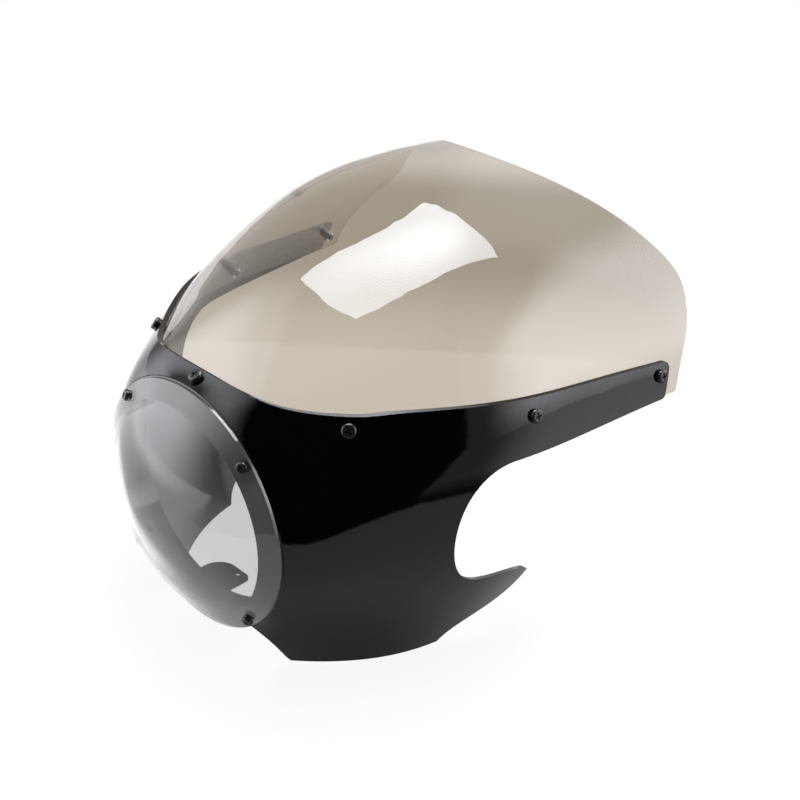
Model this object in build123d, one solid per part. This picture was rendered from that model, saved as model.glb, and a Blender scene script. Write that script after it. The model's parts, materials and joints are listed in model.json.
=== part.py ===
from build123d import *
import os
from math import cos, radians, sin, tan

# Motorbike headlight cowl: a moulded shell with a clear lens in its nose and a smoked windscreen.
# Millimetres. The origin is the centre of the nose's rim, -Y is forwards and +Z is up.

# Walls and fits
SHELL_WALL = 3.0
SCREEN_WALL = 3.0
LAP_GAP = 0.3
LENS_GAP = 0.25
SEAT_GAP = 0.15
HOLE_CLEARANCE = 0.35
THREAD_CLEARANCE = 0.05

# Lens seat: a cone in front of the nose's rim, with the aperture lip behind its inner edge
SEAT_T = 2.5
SEAT_TILT = 30.0
APERTURE_R = 78.0
LIP_WALL = 2.0
LIP_DEPTH = 17.0
NOSE_MARGIN = 1.2
SEAT_STEP = 0.4

# Lens: a sloped screw brim around a shallow dome
LENS_WALL = 1.6
BRIM_WIDTH = 14.0
DOME_RISE = 27.5
DOME_R = APERTURE_R + LENS_WALL
LENS_R = APERTURE_R + BRIM_WIDTH

# Tab with a hole, behind the bottom of the aperture lip
TAB_DROP = 1.0
TAB_T = 3.0
TAB_LENGTH = 22.0
TAB_FAR_X = -24.0
TAB_NEAR_X = 9.0
TAB_FAR_CORNER_R = 16.0
TAB_NEAR_CORNER_R = 3.0
TAB_HOLE_INSET = 4.0
TAB_HOLE_R = 2.5
TAB_ROOT_LENGTH = 7.0
TAB_ROOT_H = 9.0

# Outer form of the cowl and screen: half sections at stations along Y.
# Each has the roof height, then the shoulder, flank, belly, jowl and hem as (x, z).
NOSE_R = LENS_R + NOSE_MARGIN
NOSE_ANGLES = (60.0, 30.0, 0.0, -50.0, -80.0)
STATIONS = {
    27.0: (111.0, (47.0, 105.5), (87.5, 76.0), (113.0, 8.0), (66.0, -115.0), (43.0, -142.0)),
    67.0: (142.0, (59.5, 123.0), (120.5, 75.0), (135.0, 14.0), (99.0, -118.0), (83.0, -150.0)),
    127.0: (169.0, (80.0, 149.0), (151.5, 75.0), (160.5, 26.0), (121.5, -121.0), (106.0, -155.0)),
    207.0: (193.0, (90.0, 170.5), (160.0, 92.0), (175.0, 42.0), (138.0, -95.0), (121.0, -140.0)),
    287.0: (197.0, (91.0, 171.0), (166.0, 98.0), (185.0, 45.0), (150.0, -88.0), (132.0, -135.0)),
    357.0: (200.0, (89.0, 171.0), (164.0, 99.0), (187.0, 47.0), (155.0, -88.0), (136.0, -135.0)),
}

# Shell outline in side view, as (y, z). Its upper edge starts above the nose.
EDGE_FRONT_Y = 9.0
EDGE_FRONT_RISE = 8.8
EDGE_FRONT_DROP = 0.7
EDGE_BEND_Y = 22.0
EDGE_BEND_RISE = 2.1
EDGE_FRONT = (EDGE_FRONT_Y, NOSE_R + EDGE_FRONT_RISE)
EDGE_BEND = (EDGE_BEND_Y, NOSE_R + EDGE_BEND_RISE)
EDGE_KNEE = (50.0, 90.4)
EDGE_MID = (149.0, 88.2)
ARM_TOP = (294.0, 76.0)
ARM_BOTTOM = (284.5, 51.0)
ARM_CORNER_R = 4.0
NOTCH_TOP = (141.0, 49.7)
NOTCH_SHOULDER = (114.0, 37.0)
NOTCH_FRONT = (101.0, -1.0)
NOTCH_BOTTOM = (116.0, -41.5)
HOOK_TOP = (148.0, -54.0)
HOOK_TIP = (190.0, -74.0)
HOOK_UNDER = (174.0, -95.0)
HOOK_ROOT = (129.0, -110.0)
BOTTOM_REAR = (122.5, -120.0)
BOTTOM_MID = (66.0, -117.5)
BOTTOM_FRONT = (27.5, -115.0)
CHIN_MID = (11.0, -88.5)
CHIN_TOP = (-1.0, -71.0)

# Windscreen outline in side view, as (y, z)
SCREEN_FRONT_GAP = 0.7
SCREEN_FRONT_Z = 74.0
SCREEN_FRONT_R = 8.0
SCREEN_LOW_REAR = (300.0, 50.0)
SCREEN_LOW_R = 3.0
SCREEN_REAR_LOW = (305.0, 62.0)
SCREEN_REAR_MID = (314.0, 77.0)
SCREEN_TIP_LOW = (333.0, 100.0)
SCREEN_TIP = (341.0, 118.0)
SCREEN_TIP_HIGH = (332.0, 138.0)
SCREEN_TOP_MID = (289.0, 180.0)
SCREEN_TOP = (255.0, 199.0)
SCREEN_TOP_RISE = 0.5

# Windscreen screws: three on each side by (y, z), and one on the centre line by y
SIDE_SCREWS = ((49.0, 83.0), (161.5, 75.5), (282.5, 68.0))
CENTRE_SCREW_Y = 8.0
SCREEN_SCREW_R = 2.5
SCREEN_HEAD_R = 5.0
SCREEN_HEAD_H = 3.2
SCREEN_HEAD_ROUND = 1.6
SCREEN_RECESS_SPAN = 5.2
SCREEN_RECESS_WIDTH = 1.2
SCREEN_RECESS_DEPTH = 1.6
SCREEN_NUT_ACROSS = 8.0
SCREEN_NUT_T = 4.0

# Lens screws on a circle near the middle of the brim
LENS_SCREW_ANGLES = (45.0, 135.0, 225.0, 315.0)
LENS_SCREW_INSET = 5.0
LENS_SCREW_R = 1.75
LENS_HEAD_R = 4.0
LENS_HEAD_H = 2.6
LENS_HEAD_ROUND = 1.3
LENS_RECESS_SPAN = 4.2
LENS_RECESS_WIDTH = 1.0
LENS_RECESS_DEPTH = 1.3
LENS_NUT_ACROSS = 6.0
LENS_NUT_T = 2.8

# How far each screw stands out of its nut
SCREW_OVERRUN = 1.5

# Reach of the side-view cutters, beyond every piece
REACH = 300.0

# Sizes that follow from the ones above
SEAT_SLOPE = tan(radians(SEAT_TILT))
SEAT_DEPTH = SEAT_T / cos(radians(SEAT_TILT))
BRIM_BACK = LENS_GAP / cos(radians(SEAT_TILT))
BRIM_FRONT = BRIM_BACK + LENS_WALL / cos(radians(SEAT_TILT))
LENS_SCREW_CIRCLE_R = LENS_R - LENS_SCREW_INSET
SEAT_R = NOSE_R - SEAT_STEP
LIP_R = APERTURE_R + LIP_WALL
TAB_END_Y = LIP_DEPTH + TAB_LENGTH
SCREEN_STACK = SHELL_WALL + LAP_GAP + SCREEN_WALL
LENS_STACK = LENS_WALL + LENS_GAP + SEAT_T


def station_wire(y, roof, *side):
    """Closed section across the form: one smooth curve over the roof and a straight line below."""
    right = [(x, y, z) for x, z in side]
    left = [(-x, y, z) for x, z in reversed(side)]
    over = Edge.make_spline(left + [(0, y, roof)] + right)
    under = Edge.make_line(right[-1], left[0])
    return Wire([over, under])


def outer_form():
    """Solid inside the outer skin, from the round nose to behind the windscreen."""
    rim = [(NOSE_R * cos(radians(a)), NOSE_R * sin(radians(a))) for a in NOSE_ANGLES]
    wires = [station_wire(0, NOSE_R, *rim)]
    for y, values in STATIONS.items():
        wires.append(station_wire(y, *values))
    return Solid.make_loft(wires)


def skin_of(face, depth):
    """Sheet of even thickness on the inner side of a face, and its inner face."""
    outward = face.normal_at(face.position_at(0.5, 0.5))
    inwards = depth if outward.Z < 0 else -depth
    sheet = Solid.thicken(face, inwards)
    inner = sheet.faces().filter_by(GeomType.OFFSET).sort_by(SortBy.AREA)[-1]
    return sheet, inner


def side_bar(edges):
    """Bar across the whole cowl with a side-view outline."""
    return extrude(Plane.YZ * make_face(edges), REACH, both=True)


def disc(radius, front_y, rear_y):
    """Round slab about the lens axis, between two places along Y."""
    return extrude(Plane((0, front_y, 0), z_dir=(0, 1, 0)) * Circle(radius), rear_y - front_y)


def shell_outline():
    """Side view of the shell: upper edge, arm, fork notch, hook, bottom edge and chin."""
    above = (EDGE_FRONT[0], REACH)
    before_top = (-REACH, REACH)
    before_chin = (-REACH, CHIN_TOP[1])
    arm = FilletPolyline(EDGE_MID, ARM_TOP, ARM_BOTTOM, NOTCH_TOP, radius=ARM_CORNER_R)
    front_slope = (1, -EDGE_FRONT_DROP)
    return [
        Polyline(EDGE_FRONT, above, before_top, before_chin, CHIN_TOP),
        Spline(EDGE_FRONT, EDGE_BEND, EDGE_KNEE, EDGE_MID, tangents=(front_slope, arm % 0)),
        arm,
        Spline(NOTCH_TOP, NOTCH_SHOULDER, NOTCH_FRONT, NOTCH_BOTTOM, HOOK_TOP, HOOK_TIP),
        Spline(HOOK_TIP, HOOK_UNDER, HOOK_ROOT, BOTTOM_REAR),
        Spline(BOTTOM_REAR, BOTTOM_MID, BOTTOM_FRONT),
        Spline(BOTTOM_FRONT, CHIN_MID, CHIN_TOP),
    ]


def lower_tab():
    """Flat tab with a hole, rooted on the outside of the aperture lip."""
    start_y = LIP_DEPTH - TAB_ROOT_LENGTH
    under_z = -APERTURE_R - TAB_DROP - TAB_T
    corners = FilletPolyline(
        (TAB_FAR_X, start_y),
        (TAB_FAR_X, TAB_END_Y),
        (TAB_NEAR_X, TAB_END_Y),
        (TAB_NEAR_X, start_y),
        radius=[TAB_FAR_CORNER_R, TAB_NEAR_CORNER_R],
    )
    outline = make_face([corners, Line((TAB_NEAR_X, start_y), (TAB_FAR_X, start_y))])
    outline -= Pos(0, TAB_END_Y - TAB_HOLE_INSET) * Circle(TAB_HOLE_R)
    plate = extrude(Pos(0, 0, under_z) * outline, TAB_T)
    block = Box(
        TAB_NEAR_X - TAB_FAR_X,
        TAB_ROOT_LENGTH,
        TAB_ROOT_H,
        align=(Align.MIN, Align.MIN, Align.MIN),
    )
    root = Pos(TAB_FAR_X, start_y, under_z) * block - disc(APERTURE_R + LIP_WALL / 2, 0, TAB_END_Y)
    return plate + root


def seat_point(r, along=0):
    """Point at radius r on the cone of the lens seat, or some way along Y from it."""
    return (r, (r - NOSE_R) * SEAT_SLOPE + along)


def nose_ring():
    """Sloped lens seat and the aperture lip, turned about the Y axis."""
    outline = Polyline(
        seat_point(APERTURE_R),
        seat_point(SEAT_R),
        seat_point(SEAT_R, SEAT_DEPTH),
        seat_point(LIP_R, SEAT_DEPTH),
        (LIP_R, LIP_DEPTH),
        (APERTURE_R, LIP_DEPTH),
        close=True,
    )
    return revolve(make_face(outline), Axis.Y)


def cowl_shell(skin):
    """Moulded shell: the skin cut to its side view, with the lens seat, lip and tab of one piece."""
    return (skin & side_bar(shell_outline())) + nose_ring() + lower_tab()


def screen_outline():
    """Side view of the windscreen: front and lower edges under the shell, then the free rear edge."""
    front_y = SEAT_DEPTH + SCREEN_FRONT_GAP
    low = FilletPolyline(
        (front_y, REACH),
        (front_y, SCREEN_FRONT_Z),
        SCREEN_LOW_REAR,
        SCREEN_REAR_LOW,
        radius=[SCREEN_FRONT_R, SCREEN_LOW_R],
    )
    rear = Spline(
        SCREEN_REAR_LOW,
        SCREEN_REAR_MID,
        SCREEN_TIP_LOW,
        SCREEN_TIP,
        SCREEN_TIP_HIGH,
        SCREEN_TOP_MID,
        SCREEN_TOP,
        tangents=(low % 1, (-1, SCREEN_TOP_RISE)),
    )
    return [low, rear, Polyline(SCREEN_TOP, (SCREEN_TOP[0], REACH), (front_y, REACH))]


def dome_point(rim, apex, r):
    """Point at radius r on the sphere through a rim and an apex."""
    rise = rim[1] - apex[1]
    ball_r = (rim[0] ** 2 + rise**2) / (2 * rise)
    return (r, apex[1] + ball_r - (ball_r**2 - r**2) ** 0.5)


def headlamp_lens():
    """Clear lens turned about the Y axis, open at the back."""
    foot = seat_point(DOME_R, -BRIM_FRONT)
    apex = (0, foot[1] - DOME_RISE)
    inside_foot = seat_point(APERTURE_R, -BRIM_BACK)
    inside_apex = (0, apex[1] + LENS_WALL)
    rim = [seat_point(LENS_R, -BRIM_BACK), seat_point(LENS_R, -BRIM_FRONT)]
    brim = Polyline(inside_foot, *rim, foot)
    dome = ThreePointArc(foot, dome_point(foot, apex, DOME_R / 2), apex)
    axis_line = Line(apex, inside_apex)
    inside_middle = dome_point(inside_foot, inside_apex, DOME_R / 2)
    inside = ThreePointArc(inside_apex, inside_middle, inside_foot)
    return revolve(make_face([brim, dome, axis_line, inside]), Axis.Y)


def pan_screw(shank_r, length, head_r, head_h, head_round, recess_span, recess_width, recess_depth):
    """Cross-recess screw along Z, head up, with the underside of its head at the origin."""
    head = extrude(Circle(head_r), head_h)
    head = fillet(head.edges().group_by(Axis.Z)[-1], head_round)
    for across, along in ((recess_span, recess_width), (recess_width, recess_span)):
        head -= Pos(0, 0, head_h) * Box(across, along, 2 * recess_depth)
    return head + extrude(Circle(shank_r), -length)


def hex_nut(across, thickness, shank_r):
    """Hex nut along Z, with its seat at the origin and its body below."""
    outline = RegularPolygon(across / 2, 6, major_radius=False) - Circle(shank_r + THREAD_CLEARANCE)
    return extrude(outline, -thickness)


def screen_screw_seats(face):
    """Planes on the outer skin under each windscreen screw head, with Z pointing out."""
    rays = [Axis((0, CENTRE_SCREW_Y, 0), (0, 0, 1))]
    for y, z in SIDE_SCREWS:
        for side in (1, -1):
            rays.append(Axis((0, y, z), (side, 0, 0)))
    seats = []
    for ray in rays:
        hits = face.find_intersection_points(ray)
        ahead = [hit for hit in hits if (hit[0] - ray.position).dot(ray.direction) > 0]
        point, normal = max(ahead, key=lambda hit: (hit[0] - ray.position).length)
        if normal.dot(ray.direction) < 0:
            normal = normal * -1
        seats.append(Plane(point, x_dir=(0, 1, 0), z_dir=normal))
    return seats


def lens_screw_seats():
    """Planes on the front of the lens brim, with Z pointing out of its slope."""
    tilt = radians(SEAT_TILT)
    r, y = seat_point(LENS_SCREW_CIRCLE_R, -BRIM_FRONT)
    seats = []
    for angle in LENS_SCREW_ANGLES:
        across = cos(radians(angle))
        up = sin(radians(angle))
        out = (across * sin(tilt), -cos(tilt), up * sin(tilt))
        seats.append(Plane((r * across, y, r * up), x_dir=(-up, 0, across), z_dir=out))
    return seats


def drilled(piece, seats, shank_r, depth):
    """Piece with a clearance hole under each seat."""
    hole = Pos(0, 0, depth) * extrude(Circle(shank_r + HOLE_CLEARANCE), -2 * depth)
    for seat in seats:
        piece -= seat.location * hole
    return piece


def spot_faced(piece, seats, head_r, height):
    """Piece with a flat seat for each head where its skin is hollow."""
    cutter = Pos(0, 0, SEAT_GAP / 2) * extrude(Circle(head_r + HOLE_CLEARANCE), height)
    for seat in seats:
        piece -= seat.location * cutter
    return piece


def placed(piece, seats, height):
    """Copies of a fastener, one on each seat, at a height along the seat's Z."""
    return [seat.location * Pos(0, 0, height) * piece for seat in seats]


def save(name, solids):
    """Write one node, as a single solid or as a group of separate ones."""
    node = solids[0] if len(solids) == 1 else Compound(children=solids)
    export_step(node, os.path.join("parts", name + ".step"))


def main():
    form = outer_form()
    outer = form.faces().sort_by(SortBy.AREA)[-1]
    skin, _ = skin_of(outer, SHELL_WALL)
    _, under_shell = skin_of(outer, SHELL_WALL + LAP_GAP)
    screen_sheet, _ = skin_of(under_shell, SCREEN_WALL)

    screen_seats = screen_screw_seats(outer)
    lens_seats = lens_screw_seats()
    screen_screw_length = SCREEN_STACK + 2 * SEAT_GAP + SCREEN_NUT_T + SCREW_OVERRUN
    lens_screw_length = LENS_STACK + 2 * SEAT_GAP + LENS_NUT_T + SCREW_OVERRUN

    shell = cowl_shell(skin)
    shell = drilled(shell, screen_seats, SCREEN_SCREW_R, screen_screw_length)
    shell = drilled(shell, lens_seats, LENS_SCREW_R, lens_screw_length)
    shell = spot_faced(shell, screen_seats, SCREEN_HEAD_R, SCREEN_HEAD_H)
    screen = screen_sheet & side_bar(screen_outline())
    screen = drilled(screen, screen_seats, SCREEN_SCREW_R, screen_screw_length)
    lens = drilled(headlamp_lens(), lens_seats, LENS_SCREW_R, lens_screw_length)

    screen_screw = pan_screw(
        SCREEN_SCREW_R,
        screen_screw_length,
        SCREEN_HEAD_R,
        SCREEN_HEAD_H,
        SCREEN_HEAD_ROUND,
        SCREEN_RECESS_SPAN,
        SCREEN_RECESS_WIDTH,
        SCREEN_RECESS_DEPTH,
    )
    lens_screw = pan_screw(
        LENS_SCREW_R,
        lens_screw_length,
        LENS_HEAD_R,
        LENS_HEAD_H,
        LENS_HEAD_ROUND,
        LENS_RECESS_SPAN,
        LENS_RECESS_WIDTH,
        LENS_RECESS_DEPTH,
    )
    screen_nut = hex_nut(SCREEN_NUT_ACROSS, SCREEN_NUT_T, SCREEN_SCREW_R)
    lens_nut = hex_nut(LENS_NUT_ACROSS, LENS_NUT_T, LENS_SCREW_R)

    os.makedirs("parts", exist_ok=True)
    save("cowl_shell", [shell])
    save("windscreen", [screen])
    save("headlamp_lens", [lens])
    save("windscreen_screws", placed(screen_screw, screen_seats, SEAT_GAP))
    save("windscreen_nuts", placed(screen_nut, screen_seats, -SCREEN_STACK - SEAT_GAP))
    save("lens_screws", placed(lens_screw, lens_seats, SEAT_GAP))
    save("lens_nuts", placed(lens_nut, lens_seats, -LENS_STACK - SEAT_GAP))


main()
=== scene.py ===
import bpy
import json
from math import radians
from mathutils import Euler, Matrix, Vector

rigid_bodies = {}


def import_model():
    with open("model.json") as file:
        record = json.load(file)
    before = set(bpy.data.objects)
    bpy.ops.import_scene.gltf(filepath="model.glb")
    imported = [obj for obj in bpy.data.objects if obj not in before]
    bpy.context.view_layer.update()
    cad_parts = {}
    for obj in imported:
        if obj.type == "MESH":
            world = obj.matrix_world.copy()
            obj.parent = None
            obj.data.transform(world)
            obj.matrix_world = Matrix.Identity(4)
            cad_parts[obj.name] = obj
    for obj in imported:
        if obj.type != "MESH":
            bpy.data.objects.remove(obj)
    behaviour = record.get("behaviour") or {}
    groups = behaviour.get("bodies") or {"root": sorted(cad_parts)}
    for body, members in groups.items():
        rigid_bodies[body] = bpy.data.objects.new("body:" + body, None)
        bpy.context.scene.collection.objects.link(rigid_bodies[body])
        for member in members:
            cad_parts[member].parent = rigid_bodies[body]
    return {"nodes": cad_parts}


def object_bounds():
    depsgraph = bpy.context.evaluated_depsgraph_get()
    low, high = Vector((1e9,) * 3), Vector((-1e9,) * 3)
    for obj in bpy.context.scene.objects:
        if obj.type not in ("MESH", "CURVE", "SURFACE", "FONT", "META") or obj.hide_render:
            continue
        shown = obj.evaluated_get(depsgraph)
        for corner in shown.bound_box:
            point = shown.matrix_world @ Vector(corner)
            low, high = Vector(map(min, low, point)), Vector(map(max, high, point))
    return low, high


for left_over in list(bpy.data.objects):
    bpy.data.objects.remove(left_over)
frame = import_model()
cad_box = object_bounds()
nodes = frame["nodes"]
scene = bpy.context.scene
scene.view_settings.view_transform = "Standard"


# Camera: metres, degrees and millimetres of film

CAMERA_PLACE = Vector((0.56637, -0.40356, 0.48379))
CAMERA_TILT = 59.859
CAMERA_ROLL = -1.992
CAMERA_TURN = 44.246
FILM_WIDTH = 36.0
FOCAL_LENGTH = 54.777

# Finishes: a pair of colours runs across a noise, and a noise is scale per metre, detail and roughness

SHELL_BLACK = ((0.0011, 0.0011, 0.0012), (0.002, 0.002, 0.0021))
SHELL_CLOUD = (9.0, 4.0, 0.6)
SHELL_HAZE = (34.0, 5.0, 0.62)
SHELL_HAZE_SPAN = (0.3, 0.75)
SHELL_ROUGHNESS = (0.05, 0.09)
SHELL_IOR = 1.5
SHELL_PEEL = (420.0, 2.0, 0.5)
SHELL_PEEL_DEPTH = 0.000012

SHEET_CLOUD = (6.0, 3.0, 0.5)
SHEET_SMEAR = (40.0, 5.0, 0.6)
SHEET_SMEAR_SPAN = (0.4, 0.8)
SHEET_SMEAR_ROUGHER = 2.0
SHEET_STRAIGHT_IOR = 1.0
SCREEN_TINT = ((0.595, 0.54, 0.47), (0.62, 0.565, 0.495))
SCREEN_SHADOW = (0.58, 0.53, 0.46)
SCREEN_ROUGHNESS = 0.015
SCREEN_GLOSS_IOR = 1.49
SCREEN_CLEARNESS = 1.0
LENS_TINT = ((0.6, 0.6, 0.61), (0.66, 0.66, 0.67))
LENS_SHADOW = (0.62, 0.62, 0.63)
LENS_ROUGHNESS = 0.04
LENS_GLOSS_IOR = 1.6
LENS_CLEARNESS = 0.98

STEEL_GRAIN_SPAN = (0.3, 0.7)
SCREW_BLACK = ((0.006, 0.006, 0.0065), (0.018, 0.018, 0.019))
SCREW_GRAIN = (900.0, 3.0, 0.6)
SCREW_ROUGHNESS = (0.16, 0.28)
SCREW_GRAIN_DEPTH = 0.00002
NUT_ZINC = ((0.5, 0.5, 0.49), (0.68, 0.68, 0.66))
NUT_GRAIN = (700.0, 4.0, 0.6)
NUT_ROUGHNESS = (0.22, 0.4)
NUT_GRAIN_DEPTH = 0.00003

# Floor to the camera: a white of its own, and a grey share that takes the object's shadow

WHITE = (1.0, 1.0, 1.0)
FLOOR_GAP = 0.0003
FLOOR_Z = cad_box[0].z - FLOOR_GAP
FLOOR_HALF = 6.0
FLOOR_GREY = (0.86, 0.86, 0.86)
FLOOR_WHITE_LEVEL = 0.88
FLOOR_SHADOW_GREY = (0.22, 0.22, 0.22)

# Floor in reflections, with painted pools of light and a painted shadow of the object on the table: spans in
# metres from the table's middle or along X or Y, and turns in degrees

TABLE_MIDDLE = (0.02, 0.09, FLOOR_Z)
# Painted shadow of the object on the table, seen only in reflections
TABLE_SHADE_SPAN = (0.08, 0.17)
TABLE_SHADE_LEVEL = 0.16
TABLE_LEVEL = 0.46
TABLE_END = (0.44, 0.46)
# Painted pools of light on the table, seen only in reflections: left, right, front left, beside the object,
# in a strip and under the nose
LEFT_X = (0.03, -0.12)
LEFT_LEVEL = 1.3
RIGHT_TURN_START = (15.0, 30.0)
RIGHT_TURN_DIM = (58.0, 80.0)
RIGHT_TURN_END = (89.0, 91.0)
RIGHT_LEVELS = (1.3, 0.3)
RIGHT_DISTANCE = (0.44, 0.7)
FRONT_LEFT_TURN_START = (-180.0, -134.0)
FRONT_LEFT_TURN_END = (-118.0, -86.0)
FRONT_LEFT_FLOOR_LEVEL = 2.5
FRONT_LEFT_DISTANCE = (0.4, 1.6)
BESIDE_LEVEL = 1.5
BESIDE_Y_START = (-0.085, -0.02)
BESIDE_Y_END = (0.0, 0.05)
BESIDE_X = (-0.13, -0.19)
BESIDE_DISTANCE = (0.36, 0.5)
STRIP_LEVEL = 1.4
STRIP_Y_START = (-0.1, -0.065)
STRIP_Y_END = (-0.055, -0.03)
STRIP_X = (-0.01, -0.1)
STRIP_DISTANCE = (0.3, 0.45)
NOSE_LEVEL = 0.35
NOSE_X = (0.09, 0.03)
NOSE_Y = (0.01, -0.03)
NOSE_DISTANCE = (0.2, 0.3)

# Floor through the clear pieces, with a painted darker band at the table's far edge and painted shade beyond
# it: spans in metres along the direction across the table's far edge

TABLE_ACROSS = (-0.674, 0.738)
TABLE_WHITE = (1.0, 0.99, 0.965)
# Painted darker band at the table's edge and painted shade beyond it, seen only through the clear pieces
TABLE_EDGE_SPAN = (0.462, 0.474)
TABLE_EDGE_WHITE = (0.92, 0.9, 0.86)
DUSK_SPAN = (0.46, 0.72)
DUSK = (0.58, 0.545, 0.49)
BACKDROP_SPAN = (0.94, 1.1)

# Room in reflections: turns in degrees from +Y towards +X, and heights in degrees above the horizon

ROOM_WHITE = (0.97, 0.98, 1.04)
FRONT_LEFT_LEVEL = 5.0
FRONT_LEFT_FOOT = (-2.0, 24.0)
FRONT_LEFT_FOOT_SHARE = 0.75
FRONT_LEFT_HEAD = (22.0, 58.0)
FRONT_LEFT_HEAD_SHARE = 0.34
WALL_LEVEL = 0.5
WALL_TURN_START = (-110.0, -90.0)
WALL_TURN_END = (89.0, 91.0)
BACK_LEVEL = 0.7
BACK_TURN_START = (-50.0, -25.0)
BACK_TURN_END = (5.0, 30.0)
WALL_DIM_TURN = (60.0, 80.0)
WALL_DIM_SHARE = 0.6
WINDOW_LEVEL = 4.0
WINDOW_TURN_START = (8.0, 28.0)
WINDOW_TURN_END = (58.0, 84.0)
WINDOW_FOOT = (-4.0, 12.0)
WINDOW_FOOT_SHARE = 0.35
WINDOW_HEAD = (31.0, 45.0)
CEILING_LEVEL = 0.5
CEILING_HEIGHT = (60.0, 74.0)
ROOM_THROUGH = (0.66, 0.63, 0.56)

# Lights: metres and watts

DAYLIGHT_LEVEL = 0.5
LIGHT_Z = 1.15
SOFTBOX_CORNERS = ((-0.46, 0.0), (-0.58, 0.65), (0.41, 0.73), (0.115, -0.16))
SOFTBOX_WHITE = (0.95, 0.99, 1.05)
SOFTBOX_MIDDLE = (-0.1, 0.3, LIGHT_Z)
SOFTBOX_FADE = (0.05, 0.5)
SOFTBOX_LEVELS = (17.0, 10.0)
LAMP_PLACE = (-0.13, 0.32, LIGHT_Z)
LAMP_SIZE = (0.85, 0.78)
LAMP_WATTS = 6.5


# Node helpers

def feed(tree, socket, value):
    """Link an input to an output, or set its value. A colour is red, green and blue."""
    if isinstance(value, bpy.types.NodeSocket):
        tree.links.new(value, socket)
    elif socket.type == "RGBA":
        socket.default_value = (*value, 1.0)
    else:
        socket.default_value = value


def add(tree, kind, inputs=None, **settings):
    """New node with its settings, and its inputs by name or number."""
    node = tree.nodes.new(kind)
    for key, value in settings.items():
        setattr(node, key, value)
    for key, value in (inputs or {}).items():
        feed(tree, node.inputs[key], value)
    return node


def math(tree, operation, *values):
    """Math node over outputs or numbers."""
    return add(tree, "ShaderNodeMath", dict(enumerate(values)), operation=operation).outputs[0]


def total(tree, first, *others):
    """Outputs or numbers added together."""
    for other in others:
        first = math(tree, "ADD", first, other)
    return first


def product(tree, first, *others):
    """Outputs or numbers multiplied together."""
    for other in others:
        first = math(tree, "MULTIPLY", first, other)
    return first


def smooth(tree, value, span, ends=(0.0, 1.0)):
    """Smooth step from one end to the other as a value crosses a span."""
    limits = {"Value": value, "From Min": span[0], "From Max": span[1], "To Min": ends[0], "To Max": ends[1]}
    return add(tree, "ShaderNodeMapRange", limits, interpolation_type="SMOOTHSTEP").outputs["Result"]


def fade(tree, value, span):
    """Smooth step from 1 to 0 as a value crosses a span."""
    return smooth(tree, value, span, (1.0, 0.0))


def blend(tree, share, first, second):
    """Colour between two colours or outputs."""
    return add(tree, "ShaderNodeMix", {0: share, 6: first, 7: second}, data_type="RGBA").outputs[2]


def noise(tree, coords, look):
    """Noise from its scale, detail and roughness."""
    scale, detail, roughness = look
    inputs = {"Vector": coords, "Scale": scale, "Detail": detail, "Roughness": roughness}
    return add(tree, "ShaderNodeTexNoise", inputs).outputs["Fac"]


def distance(tree, place, middle):
    """Distance of a place from a fixed point."""
    return add(tree, "ShaderNodeVectorMath", {0: place, 1: middle}, operation="DISTANCE").outputs["Value"]


def split(tree, vector):
    """X, Y and Z of a vector."""
    return add(tree, "ShaderNodeSeparateXYZ", {0: vector}).outputs


def turn_about_z(tree, x, y):
    """Angle in degrees from +Y towards +X."""
    return math(tree, "DEGREES", math(tree, "ARCTAN2", x, y))


def choose(tree, share, first, second):
    """First shader where the share is 0, and the second where it is 1."""
    return add(tree, "ShaderNodeMixShader", {0: share, 1: first, 2: second}).outputs[0]


def by_ray(tree, lighting, camera, glossy, through):
    """Shader for the light that a surface gives, and others for the camera, gloss and clear pieces."""
    path = add(tree, "ShaderNodeLightPath").outputs
    seen = choose(tree, path["Is Camera Ray"], lighting, camera)
    seen = choose(tree, path["Is Glossy Ray"], seen, glossy)
    return choose(tree, path["Is Transmission Ray"], seen, through)


def empty_material(name):
    """Material with only its output."""
    material = bpy.data.materials.new(name)
    material.use_nodes = True
    tree = material.node_tree
    tree.nodes.clear()
    surface = add(tree, "ShaderNodeOutputMaterial").inputs["Surface"]
    return material, tree, surface


def coated_material(name):
    """Material with its output, its shader and coordinates in metres."""
    material, tree, surface = empty_material(name)
    shader = add(tree, "ShaderNodeBsdfPrincipled")
    tree.links.new(shader.outputs[0], surface)
    coords = add(tree, "ShaderNodeTexCoord").outputs["Object"]
    return material, tree, surface, shader, coords


def bump(tree, shader, height, depth):
    """Fine relief from a noise."""
    relief = add(tree, "ShaderNodeBump", {"Strength": 1.0, "Distance": depth, "Height": height})
    tree.links.new(relief.outputs[0], shader.inputs["Normal"])


# Materials

def gloss_black():
    """Gloss black moulded plastic with faint orange peel and handling haze."""
    material, tree, _, shader, coords = coated_material("gloss_black_plastic")
    cloud = noise(tree, coords, SHELL_CLOUD)
    haze = noise(tree, coords, SHELL_HAZE)
    feed(tree, shader.inputs["Base Color"], blend(tree, cloud, *SHELL_BLACK))
    feed(tree, shader.inputs["Roughness"], smooth(tree, haze, SHELL_HAZE_SPAN, SHELL_ROUGHNESS))
    feed(tree, shader.inputs["IOR"], SHELL_IOR)
    bump(tree, shader, noise(tree, coords, SHELL_PEEL), SHELL_PEEL_DEPTH)
    return material


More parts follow.
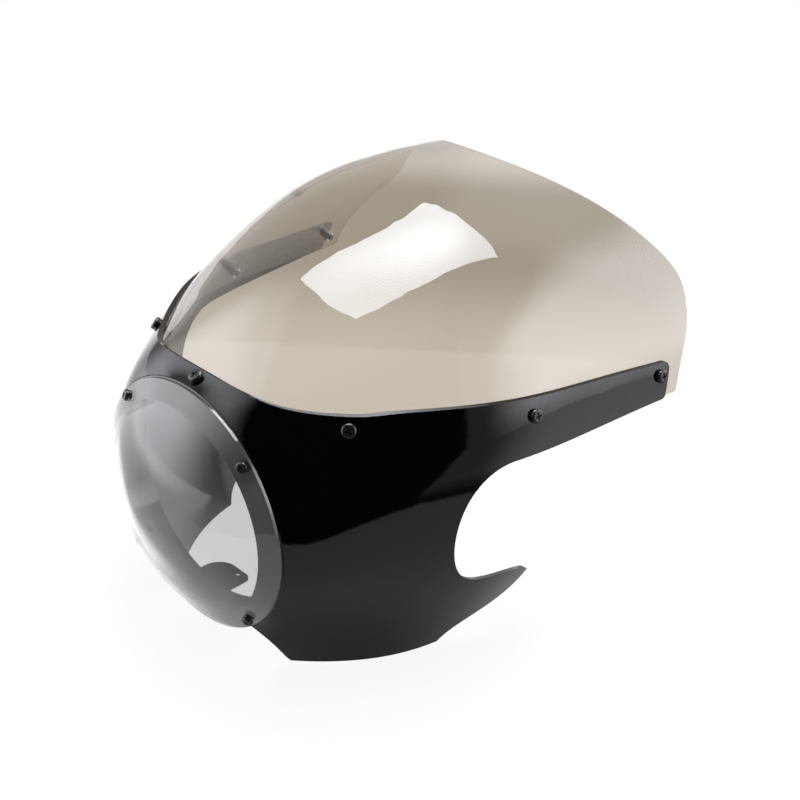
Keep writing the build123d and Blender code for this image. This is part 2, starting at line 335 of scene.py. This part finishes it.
def clear_plastic(name, tint, shadow, roughness, gloss_ior, clearness):
    """Thin see-through sheet: tinted light passes straight, and a gloss coat reflects on both faces."""
    material, tree, surface, shader, coords = coated_material(name)
    smear = noise(tree, coords, SHEET_SMEAR)
    rough_ends = (roughness, roughness * SHEET_SMEAR_ROUGHER)
    feed(tree, shader.inputs["Base Color"], blend(tree, noise(tree, coords, SHEET_CLOUD), *tint))
    feed(tree, shader.inputs["Roughness"], smooth(tree, smear, SHEET_SMEAR_SPAN, rough_ends))
    feed(tree, shader.inputs["IOR"], SHEET_STRAIGHT_IOR)
    feed(tree, shader.inputs["Transmission Weight"], clearness)
    feed(tree, shader.inputs["Coat Weight"], 1.0)
    feed(tree, shader.inputs["Coat Roughness"], roughness)
    feed(tree, shader.inputs["Coat IOR"], gloss_ior)
    passing = add(tree, "ShaderNodeBsdfTransparent", {"Color": shadow})
    shadow_ray = add(tree, "ShaderNodeLightPath").outputs["Is Shadow Ray"]
    tree.links.new(choose(tree, shadow_ray, shader.outputs[0], passing.outputs[0]), surface)
    return material


def grained_steel(name, colours, grain_look, roughness, depth, metallic):
    """Steel with a fine grain in its colour, gloss and relief."""
    material, tree, _, shader, coords = coated_material(name)
    grain = noise(tree, coords, grain_look)
    feed(tree, shader.inputs["Base Color"], blend(tree, grain, *colours))
    feed(tree, shader.inputs["Roughness"], smooth(tree, grain, STEEL_GRAIN_SPAN, roughness))
    feed(tree, shader.inputs["Metallic"], metallic)
    bump(tree, shader, grain, depth)
    return material


shell_look = gloss_black()
screen_look = clear_plastic(
    "smoked_acrylic", SCREEN_TINT, SCREEN_SHADOW, SCREEN_ROUGHNESS, SCREEN_GLOSS_IOR, SCREEN_CLEARNESS
)
lens_look = clear_plastic(
    "clear_lens_plastic", LENS_TINT, LENS_SHADOW, LENS_ROUGHNESS, LENS_GLOSS_IOR, LENS_CLEARNESS
)
screw_look = grained_steel(
    "black_coated_steel", SCREW_BLACK, SCREW_GRAIN, SCREW_ROUGHNESS, SCREW_GRAIN_DEPTH, metallic=0.0
)
nut_look = grained_steel(
    "bright_zinc_steel", NUT_ZINC, NUT_GRAIN, NUT_ROUGHNESS, NUT_GRAIN_DEPTH, metallic=1.0
)
LOOKS = {
    "cowl_shell": shell_look,
    "windscreen": screen_look,
    "headlamp_lens": lens_look,
    "windscreen_screws": screw_look,
    "lens_screws": screw_look,
    "windscreen_nuts": nut_look,
    "lens_nuts": nut_look,
}
for name, look in LOOKS.items():
    for place in nodes[name].material_slots:
        place.material = look


# Camera at the photograph's angle

camera_data = bpy.data.cameras.new("camera")
camera_data.sensor_fit = "HORIZONTAL"
camera_data.sensor_width = FILM_WIDTH
camera_data.lens = FOCAL_LENGTH
camera = bpy.data.objects.new("camera", camera_data)
scene.collection.objects.link(camera)
camera_angles = Euler([radians(angle) for angle in (CAMERA_TILT, CAMERA_ROLL, CAMERA_TURN)])
camera.matrix_world = Matrix.LocRotScale(CAMERA_PLACE, camera_angles, None)
scene.camera = camera


# Stage: floor, light panel, room and lamp

def panel(name, corners, z, material):
    """Flat four-cornered stage piece."""
    mesh = bpy.data.meshes.new(name)
    mesh.from_pydata([(x, y, z) for x, y in corners], [], [(0, 1, 2, 3)])
    made = bpy.data.objects.new(name, mesh)
    scene.collection.objects.link(made)
    mesh.materials.append(material)
    return made


def painted_table_reflection(tree, place):
    """Level of the table and floor in reflections: painted pools of light, and a painted shadow of the
    object around the table's middle.
    """
    x, y, _ = split(tree, place)
    away = distance(tree, place, TABLE_MIDDLE)
    turn = turn_about_z(tree, x, y)
    leftwards = smooth(tree, x, LEFT_X)

    # Painted shadow of the object on the table
    shade = smooth(tree, away, TABLE_SHADE_SPAN, (TABLE_SHADE_LEVEL, TABLE_LEVEL))
    table = product(tree, shade, fade(tree, away, TABLE_END))
    # Painted light over the far right of the table, dimming towards the side
    far_right = product(
        tree,
        smooth(tree, turn, RIGHT_TURN_START),
        smooth(tree, turn, RIGHT_TURN_DIM, RIGHT_LEVELS),
        fade(tree, turn, RIGHT_TURN_END),
        smooth(tree, away, RIGHT_DISTANCE),
    )
    right_side = product(tree, total(tree, table, far_right), math(tree, "SUBTRACT", 1.0, leftwards))

    # Painted pools of light beside the object, over the table's left, and far off to the front left
    beside = product(
        tree,
        BESIDE_LEVEL,
        smooth(tree, y, BESIDE_Y_START),
        fade(tree, y, BESIDE_Y_END),
        smooth(tree, x, BESIDE_X),
        fade(tree, away, BESIDE_DISTANCE),
    )
    left_side = product(tree, leftwards, total(tree, beside, LEFT_LEVEL))
    far_front_left = product(
        tree,
        FRONT_LEFT_FLOOR_LEVEL,
        smooth(tree, turn, FRONT_LEFT_TURN_START),
        fade(tree, turn, FRONT_LEFT_TURN_END),
        smooth(tree, away, FRONT_LEFT_DISTANCE),
    )

    # Painted pools of light in a strip and under the nose, seen only in reflections
    strip = product(
        tree,
        STRIP_LEVEL,
        smooth(tree, y, STRIP_Y_START),
        fade(tree, y, STRIP_Y_END),
        smooth(tree, x, STRIP_X),
        fade(tree, away, STRIP_DISTANCE),
    )
    under_nose = product(
        tree,
        NOSE_LEVEL,
        smooth(tree, x, NOSE_X),
        smooth(tree, y, NOSE_Y),
        fade(tree, away, NOSE_DISTANCE),
    )
    return total(tree, right_side, left_side, far_front_left, strip, under_nose)


def table_through(tree, place):
    """Colour of the floor through the clear pieces: white table, a painted darker band at its far edge,
    painted shade of dusk beyond, then white again.
    """
    x, y, _ = split(tree, place)
    beyond = total(tree, product(tree, x, TABLE_ACROSS[0]), product(tree, y, TABLE_ACROSS[1]))
    table = blend(tree, smooth(tree, beyond, TABLE_EDGE_SPAN), TABLE_WHITE, TABLE_EDGE_WHITE)
    dusk = blend(tree, smooth(tree, beyond, DUSK_SPAN), table, DUSK)
    return blend(tree, smooth(tree, beyond, BACKDROP_SPAN), dusk, WHITE)


def floor_material():
    """Pale floor: white to the camera with a faint shadow, a white table top with painted pools of light and
    painted shadow in reflections, and painted shade beyond the table through the clear pieces.
    """
    material, tree, surface = empty_material("pale_floor")
    place = add(tree, "ShaderNodeNewGeometry").outputs["Position"]
    lit = add(tree, "ShaderNodeBsdfDiffuse", {"Color": FLOOR_GREY})
    white = add(tree, "ShaderNodeEmission", {"Strength": FLOOR_WHITE_LEVEL})
    shadowed = add(tree, "ShaderNodeBsdfDiffuse", {"Color": FLOOR_SHADOW_GREY})
    shown = add(tree, "ShaderNodeAddShader", {0: white.outputs[0], 1: shadowed.outputs[0]})
    reflected = add(tree, "ShaderNodeEmission", {"Strength": painted_table_reflection(tree, place)})
    behind = add(tree, "ShaderNodeEmission", {"Color": table_through(tree, place)})
    shaders = [shader.outputs[0] for shader in (lit, shown, reflected, behind)]
    tree.links.new(by_ray(tree, *shaders), surface)
    return material


def softbox_material():
    """Light panel that is brighter around its middle."""
    material, tree, surface = empty_material("softbox_glow")
    place = add(tree, "ShaderNodeNewGeometry").outputs["Position"]
    level = smooth(tree, distance(tree, place, SOFTBOX_MIDDLE), SOFTBOX_FADE, SOFTBOX_LEVELS)
    glow = add(tree, "ShaderNodeEmission", {"Color": SOFTBOX_WHITE, "Strength": level})
    tree.links.new(glow.outputs[0], surface)
    return material


def room_reflection(tree):
    """Level of the room in reflections: bright at the front left, with a window at the back right."""
    x, y, z = split(tree, add(tree, "ShaderNodeTexCoord").outputs["Generated"])
    turn = turn_about_z(tree, x, y)
    height = math(tree, "DEGREES", math(tree, "ARCSINE", z))
    front_left = product(
        tree,
        FRONT_LEFT_LEVEL,
        smooth(tree, turn, FRONT_LEFT_TURN_START),
        fade(tree, turn, FRONT_LEFT_TURN_END),
        smooth(tree, height, FRONT_LEFT_FOOT, (FRONT_LEFT_FOOT_SHARE, 1.0)),
        smooth(tree, height, FRONT_LEFT_HEAD, (1.0, FRONT_LEFT_HEAD_SHARE)),
    )
    wall = product(tree, WALL_LEVEL, smooth(tree, turn, WALL_TURN_START), fade(tree, turn, WALL_TURN_END))
    back = product(tree, BACK_LEVEL, smooth(tree, turn, BACK_TURN_START), fade(tree, turn, BACK_TURN_END))
    walls = product(tree, total(tree, wall, back), smooth(tree, turn, WALL_DIM_TURN, (1.0, WALL_DIM_SHARE)))
    window = product(
        tree,
        WINDOW_LEVEL,
        smooth(tree, turn, WINDOW_TURN_START),
        fade(tree, turn, WINDOW_TURN_END),
        smooth(tree, height, WINDOW_FOOT, (WINDOW_FOOT_SHARE, 1.0)),
        fade(tree, height, WINDOW_HEAD),
    )
    below = product(tree, total(tree, front_left, walls, window), fade(tree, height, CEILING_HEIGHT))
    ceiling = product(tree, CEILING_LEVEL, smooth(tree, height, CEILING_HEIGHT))
    return total(tree, below, ceiling)


def studio_world():
    """Soft even light, a white background, and a room that shows in reflections."""
    world = bpy.data.worlds.new("studio")
    world.use_nodes = True
    tree = world.node_tree
    tree.nodes.clear()
    surface = add(tree, "ShaderNodeOutputWorld").inputs["Surface"]
    even = add(tree, "ShaderNodeBackground", {"Color": WHITE, "Strength": DAYLIGHT_LEVEL})
    white = add(tree, "ShaderNodeBackground", {"Color": WHITE, "Strength": 1.0})
    room = add(tree, "ShaderNodeBackground", {"Color": ROOM_WHITE, "Strength": room_reflection(tree)})
    through = add(tree, "ShaderNodeBackground", {"Color": ROOM_THROUGH, "Strength": 1.0})
    shaders = [shader.outputs[0] for shader in (even, white, room, through)]
    tree.links.new(by_ray(tree, *shaders), surface)
    return world


scene.world = studio_world()

floor_corners = [
    (-FLOOR_HALF, -FLOOR_HALF),
    (FLOOR_HALF, -FLOOR_HALF),
    (FLOOR_HALF, FLOOR_HALF),
    (-FLOOR_HALF, FLOOR_HALF),
]
panel("floor", floor_corners, FLOOR_Z, floor_material())

# The panel shows only in reflections, and the lamp at the same height gives its light
softbox = panel("softbox", SOFTBOX_CORNERS, LIGHT_Z, softbox_material())
softbox.visible_camera = False
softbox.visible_diffuse = False
softbox.visible_transmission = False
softbox.visible_shadow = False

lamp_data = bpy.data.lights.new("overhead", "AREA")
lamp_data.shape = "RECTANGLE"
lamp_data.size, lamp_data.size_y = LAMP_SIZE
lamp_data.energy = LAMP_WATTS
lamp = bpy.data.objects.new("overhead", lamp_data)
scene.collection.objects.link(lamp)
lamp.location = LAMP_PLACE
lamp.visible_glossy = False
lamp.visible_transmission = False
